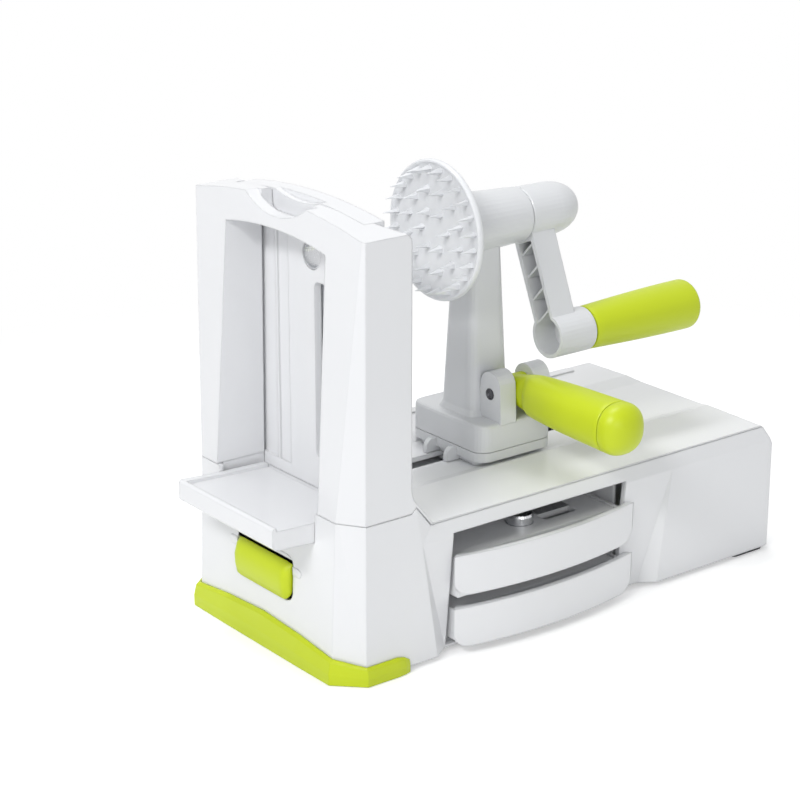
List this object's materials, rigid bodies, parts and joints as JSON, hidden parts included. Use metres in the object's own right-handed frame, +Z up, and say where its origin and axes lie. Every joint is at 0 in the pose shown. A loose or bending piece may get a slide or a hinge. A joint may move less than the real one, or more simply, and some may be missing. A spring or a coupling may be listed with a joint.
{
  "type": "hand-cranked vegetable spiralizer",
  "caption": "Hand-cranked spiralizer: blade tower with lift-out insert, sliding carriage with spiked food holder and crank, storage drawers and a lever-locked suction base.",
  "frame": {"origin": "on the table, at the centre of the flat underside of the suction pad", "axes": "+Z up; +X from the blade tower towards the crank; -Y is the side that the drawers open on"},
  "size_m": [0.297, 0.1734, 0.2205],
  "materials": {
    "white_shell": "glossy white ABS moulding",
    "grey_plastic": "satin cool light grey ABS moulding",
    "lime_plastic": "satin lime green plastic",
    "rubber": "soft dark rubber",
    "steel": "bright steel"
  },
  "bodies": {
    "base": {"base_body": "white_shell", "deck_tower": "white_shell", "bottom_plate": "grey_plastic", "base_screw_1": "steel", "base_screw_2": "steel", "base_screw_3": "steel", "base_screw_4": "steel", "rear_foot_near": "rubber", "rear_foot_far": "rubber", "front_foot_band": "lime_plastic", "landing_tray": "white_shell", "drawer_liner": "white_shell", "suction_pad": "rubber", "suction_bell": "grey_plastic", "suction_axle": "steel"},
    "blade_insert": {"blade_frame": "white_shell", "straight_knife": "steel", "knife_screw_lower": "steel", "knife_screw_upper": "steel", "coring_ring": "steel"},
    "upper_drawer": {"upper_drawer": "white_shell", "upper_insert": "white_shell", "upper_ring": "steel", "upper_knife": "steel"},
    "lower_drawer": {"lower_drawer": "white_shell", "lower_insert": "white_shell", "lower_knife": "steel"},
    "suction_lever": {"suction_lever": "lime_plastic"},
    "suction_stem": {"suction_stem": "grey_plastic"},
    "carriage": {"carriage_base": "grey_plastic", "carriage_key": "grey_plastic", "key_screw_front": "steel", "key_screw_rear": "steel", "carriage_column": "grey_plastic", "shaft_bush_front": "white_shell", "shaft_bush_rear": "white_shell", "handle_pin": "steel"},
    "push_handle": {"push_handle": "lime_plastic", "push_handle_cap": "lime_plastic"},
    "crank": {"food_holder": "grey_plastic", "drive_shaft": "steel", "crank_arm": "grey_plastic", "grip_pin": "steel"},
    "crank_grip": {"crank_grip": "lime_plastic"}
  },
  "joints": [
    {"name": "insert_lift", "type": "slide", "parent": "base", "child": "blade_insert", "axis": [0, 0, 1], "range_m": [0, 0.14]},
    {"name": "upper_drawer_slide", "type": "slide", "parent": "base", "child": "upper_drawer", "axis": [0, -1, 0], "range_m": [0, 0.09]},
    {"name": "lower_drawer_slide", "type": "slide", "parent": "base", "child": "lower_drawer", "axis": [0, -1, 0], "range_m": [0, 0.09]},
    {"name": "suction_lever_hinge", "type": "hinge", "parent": "base", "child": "suction_lever", "pos_m": [-0.0265, 0, 0.0445], "axis": [0, 1, 0], "range_deg": [0, 75]},
    {"name": "suction_stem_slide", "type": "slide", "parent": "base", "child": "suction_stem", "axis": [0, 0, 1], "range_m": [-0.0024, 0]},
    {"name": "carriage_slide", "type": "slide", "parent": "base", "child": "carriage", "axis": [1, 0, 0], "range_m": [-0.05, 0.09]},
    {"name": "push_handle_fold", "type": "hinge", "parent": "carriage", "child": "push_handle", "pos_m": [0.108, -0.02, 0.105], "axis": [-1, 0, 0], "range_deg": [0, 75]},
    {"name": "crank_turn", "type": "hinge", "parent": "carriage", "child": "crank", "pos_m": [0.1249, 0, 0.186], "axis": [1, 0, 0], "continuous": true},
    {"name": "crank_grip_spin", "type": "hinge", "parent": "crank", "child": "crank_grip", "pos_m": [0.1487, -0.02395, 0.12903], "axis": [1, 0, 0], "continuous": true}
  ],
  "couplings": [
    {"joint": "suction_stem_slide", "follows": "suction_lever_hinge", "m_per_rad": -0.00178}
  ]
}
